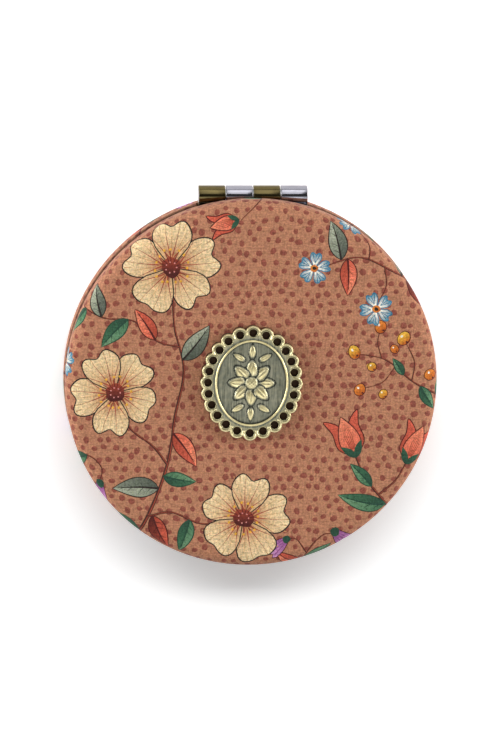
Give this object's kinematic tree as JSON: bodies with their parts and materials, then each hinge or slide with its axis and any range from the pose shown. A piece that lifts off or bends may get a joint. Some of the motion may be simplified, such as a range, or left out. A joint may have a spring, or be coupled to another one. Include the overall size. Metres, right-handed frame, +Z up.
{
  "type": "compact mirror",
  "caption": "Round pocket compact: two padded, printed-cloth halves on a rolled-knuckle hinge, a flat and a magnifying mirror inside, and a pierced oval brass badge on the lid.",
  "frame": {"origin": "middle of the flat outer face of the base, on which the shut compact lies", "axes": "+Z up through the thickness, from the base to the lid and badge; +Y towards the hinge; +X to the right seen from above with the hinge away from the viewer"},
  "size_m": [0.07, 0.0721, 0.0142],
  "materials": {
    "printed_cloth": "satin",
    "foam": "matte",
    "shell_plastic": "matte",
    "plated_trim": "polished",
    "magnet": "satin",
    "rivet_steel": "satin",
    "nickel_leaf": "polished",
    "bronzed_leaf": "satin",
    "mirror_glass": "polished",
    "tape": "matte",
    "antique_brass": "satin"
  },
  "bodies": {
    "base": {"base_cover": "printed_cloth", "base_padding": "foam", "base_shell": "shell_plastic", "base_bezel": "plated_trim", "base_magnet": "magnet", "base_leaf_rivets": "rivet_steel", "base_mirror_pad": "foam", "base_mirror": "mirror_glass", "base_hinge_leaf": "bronzed_leaf", "hinge_pin": "rivet_steel"},
    "lid": {"lid_cover": "printed_cloth", "lid_padding": "foam", "lid_shell": "shell_plastic", "lid_bezel": "plated_trim", "lid_magnet": "magnet", "lid_leaf_rivets": "rivet_steel", "lid_mirror_pad": "foam", "lid_mirror": "mirror_glass", "lid_hinge_leaf": "nickel_leaf", "badge_tape": "tape", "badge": "antique_brass"}
  },
  "joints": [
    {"name": "lid_hinge", "type": "hinge", "parent": "base", "child": "lid", "pos_m": [0, 0.0352, 0.0063], "axis": [-1, 0, 0], "range_deg": [0, 180]}
  ]
}
